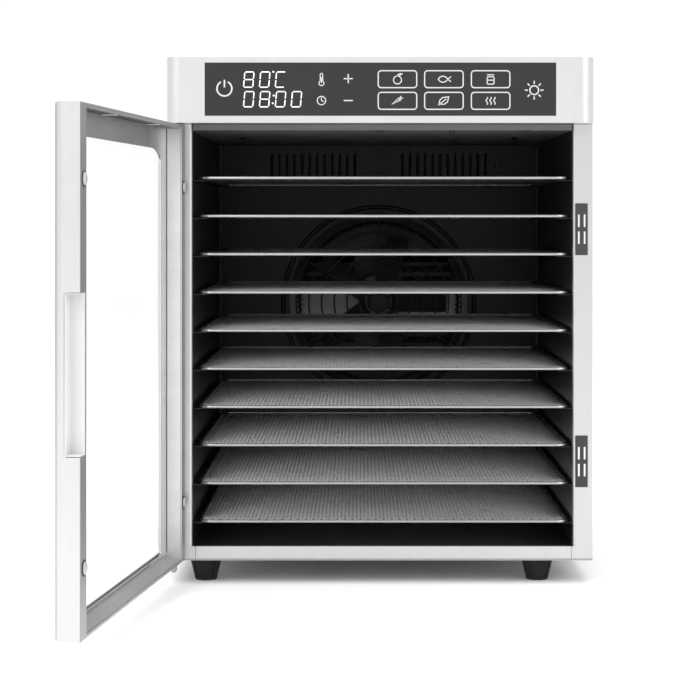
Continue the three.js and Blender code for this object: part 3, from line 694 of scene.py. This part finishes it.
def segment_digit(shape, x, z, lit):
    """Seven slanted segments of one numeral, its lower left corner at (x, z)."""
    w, h, line, lean = 9.7, 16.0, 1.1, 0.09
    rows = {"bottom": 0, "middle": h / 2, "top": h}
    short = line * 0.62

    def slanted(points):
        return [(x + a + lean * b, z + b) for a, b in points]

    for name, b in rows.items():
        if name in lit:
            shape.ribbon(slanted([(short, b), (w - short, b)]), line, *PRINT_Y)
    for name, a, b0, b1 in (
        ("lower_left", 0, 0, h / 2), ("lower_right", w, 0, h / 2), ("upper_left", 0, h / 2, h),
        ("upper_right", w, h / 2, h),
    ):
        if name in lit:
            shape.ribbon(slanted([(a, b0 + short), (a, b1 - short)]), line, *PRINT_Y)


LEFT = {"lower_left", "upper_left"}
RIGHT = {"lower_right", "upper_right"}
ENDS = {"top", "bottom"}
ZERO = LEFT | RIGHT | ENDS
EIGHT = ZERO | {"middle"}
display = Shape()
DIGIT_X, DIGIT_PITCH, UPPER_Z, LOWER_Z = -143.6, 16.65, 525.0, 504.4
for column, lit in enumerate((EIGHT, ZERO, LEFT | ENDS)):
    segment_digit(display, DIGIT_X + column * DIGIT_PITCH, UPPER_Z, lit)
for column, lit in enumerate((ZERO, EIGHT, ZERO, ZERO)):
    segment_digit(display, DIGIT_X + column * DIGIT_PITCH, LOWER_Z, lit)
for x, z in ((-112.3, 541.2), (-111.9, 516.2), (-113.0, 508.2)):
    display.plate(arc(x, z, 0.95, 0, 330, 11), *PRINT_Y)
piece("display_digits", display, "cabinet", DIGITS)

icons = Shape()
LINE = 1.25


def draw(path, width=LINE, looped=False):
    icons.ribbon(path, width, *PRINT_Y, looped)


# power
draw(arc(-163.6, 523.6, 7.8, 118, 422, 30), 1.6)
draw([(-163.6, 524.8), (-163.6, 532.8)], 1.6)
# lamp
draw(arc(161.3, 521.9, 4.6, 0, 351, 39), 1.3, True)
for k in range(8):
    a = k * math.pi / 4
    draw([(161.3 + r * math.cos(a), 521.9 + r * math.sin(a)) for r in (6.6, 9.8)], 1.3)
# thermometer and clock, plus and minus
draw(arc(-61.8, 529.2, 2.6, 120, 420, 16) + arc(-61.8, 538.2, 1.3, 0, 180, 8), 0.9, True)
draw([(-61.8, 529.4), (-61.8, 535.4)], 1.0)
draw(arc(-61.8, 511.0, 4.4, 0, 348, 29), 1.0, True)
draw([(-61.8, 514.2), (-61.8, 511.0), (-59.4, 509.8)], 0.9)
draw([(-38.5, 534.0), (-28.9, 534.0)])
draw([(-33.7, 529.2), (-33.7, 538.8)])
draw([(-38.5, 511.0), (-28.9, 511.0)])
# six keys
KEY_X = (17.9, 66.6, 115.6)
KEY_Z = (533.4, 510.7)
for x in KEY_X:
    for z in KEY_Z:
        draw(rounded(x - 20.2, x + 20.2, z - 8.9, z + 8.9, 3.2, 5), 1.15, True)


def pictogram(column, row, paths, width=1.0):
    x, z = KEY_X[column], KEY_Z[row]
    for looped, path in paths:
        draw([(x + a, z + b) for a, b in path], width, looped)


pictogram(0, 0, [  # a round fruit with its stalk and leaf
    (True, arc(0, -0.8, 4.2, 0, 345, 23)), (False, [(0, 3.2), (0.6, 5.6)]),
    (True, [(0.8, 4.4), (2.6, 5.8), (4.6, 5.6), (2.8, 4.2)]),
])
pictogram(1, 0, [  # a fish
    (True, [(-6, 0), (-4, 2.4), (-1, 3.3), (2, 2.4), (4.2, 0), (2, -2.4), (-1, -3.3), (-4, -2.4)]),
    (False, [(7.4, 2.8), (4.2, 0), (7.4, -2.8)]),
])
pictogram(2, 0, [  # a jar with its lid
    (True, rounded(-3.6, 3.6, -5.2, 2.6, 1.4, 3)), (False, [(-3.8, 4.6), (3.8, 4.6)]),
    (False, [(-3.4, -1), (3.4, -1)]),
])
pictogram(0, 1, [  # a carrot
    (True, [(-5.6, -3.4), (1.2, 2.8), (3.2, 0.8)]), (False, [(2.4, 2.2), (6, 3)]),
    (False, [(2.2, 2.4), (4, 5.2)]),
])
pictogram(1, 1, [  # a leaf with its midrib
    (True, [(-5, -3.4), (-4.4, 0.6), (-1.6, 3.4), (5, 4.2), (3.8, -1), (0.6, -3.6)]),
    (False, [(-6, -4.6), (2.4, 2)]),
])
pictogram(2, 1, [  # three plumes of warm air
    (False, [(x + 0.9 * math.sin(t * 1.25), -4 + t * 1.15) for t in range(8)]) for x in (-4, 0, 4)
])
piece("panel_print", icons, "cabinet", PRINT)

# ---------------------------------------------------------------- magnet catches

for name in ("upper", "lower"):
    lo, hi = span(f"magnet_catch_{name}")
    x, z = (lo.x + hi.x) / 2, (lo.z + hi.z) / 2
    poles = Shape()
    for across in (-3.05, 3.05):
        for up in (-8.95, 8.95):
            low_corner = (x + across - 0.95, lo.y - 0.15, z + up - 6.65)
            poles.block(low_corner, (x + across + 0.95, lo.y + 0.9, z + up + 6.65))
    piece(f"pole_plates_{name}", poles, "cabinet", POLE, bevel=0.2)

# ---------------------------------------------------------------- door fittings

INNER_FACE = 10.7
bumpers, seats = Shape(), Shape()
BUMPER = [
    (0, 0.2), (5.8, 0.2), (5.8, 0.7), (5.5, 1.3), (4.9, 1.8), (4.0, 2.2), (2.8, 2.5), (1.4, 2.63), (0, 2.68),
]
SEAT = [(0, -0.1), (7.2, -0.1), (7.2, 0.5), (6.9, 0.8), (0, 0.8)]
for u, z in ((1.3, 420), (1.3, 88.5), (430.5, 420), (430.5, 88.5)):
    bumpers.turned(BUMPER, (u, INNER_FACE + 0.2, z), 28)
    seats.turned(SEAT, (u, INNER_FACE + 0.1, z), 28)
piece("door_bumpers", bumpers, "door", SILICONE, DOOR, angle=50)
piece("bumper_seats", seats, "door", MATERIALS["dark_plastic"], DOOR, angle=50)

clips = Shape()
for u in (113.7, 300.6):
    clips.block((u - 3, -5.2, 480.6), (u + 3, 9.0, 481.4))
# Painted shade: dark rods along the crease where the inner frame's ring meets its wall stand in for the shade
# there.
crease_shade_rods = Shape()
crease_shade_rods.rod([(10.4, -5.3, 37.5), (10.4, -5.3, 481.0)], 0.55, 8, up=(0, 1, 0))
crease_shade_rods.rod([(420.6, -5.3, 37.5), (420.6, -5.3, 481.0)], 0.55, 8, up=(0, 1, 0))
piece("painted_crease_lines", crease_shade_rods, "door", CREASE_SHADE, DOOR)
piece("slot_clips", clips, "door", MATERIALS["pale_plastic"], DOOR, bevel=0.3)

# ---------------------------------------------------------------- stage and light

world = bpy.data.worlds.new("studio")
scene.world = world
world.use_nodes = True
background = world.node_tree.nodes["Background"]
background.inputs["Color"].default_value = (1, 1, 1, 1)
background.inputs["Strength"].default_value = 1.06

floor = Shape()
floor.plate([(-9000, -9000), (9000, -9000), (9000, 9000), (-9000, 9000)], -2, 0, "Z")
floor_mesh = bpy.data.meshes.new("floor")
floor_mesh.from_pydata([MM @ p for p in floor.points], [], floor.faces)
floor_object = bpy.data.objects.new("floor", floor_mesh)
floor_paint = Nodes("floor")
floor_mesh.materials.append(floor_paint.surface(
    Base_Color=(0.95, 0.95, 0.95, 1), Roughness=0.9, Specular_IOR_Level=0.0,
    Emission_Color=(1, 1, 1, 1), Emission_Strength=0.015,
))
scene.collection.objects.link(floor_object)


def softbox(name, place, target, size, power):
    """A square area light at one place that faces another, both in the cabinet's metres."""
    data = bpy.data.lights.new(name, "AREA")
    data.size = size
    data.energy = power
    light = bpy.data.objects.new(name, data)
    light.location = place
    light.rotation_euler = (Vector(target) - Vector(place)).to_track_quat("-Z", "Y").to_euler()
    scene.collection.objects.link(light)


softbox("key", (-1.6, -2.2, 2.4), (0, 0, 0.3), 1.8, 40)
softbox("fill", (2.0, -1.8, 1.6), (0, 0, 0.3), 1.6, 18)
softbox("top", (0, 0.3, 2.8), (0, 0.1, 0), 2.4, 40)

scene.view_settings.view_transform = "Standard"
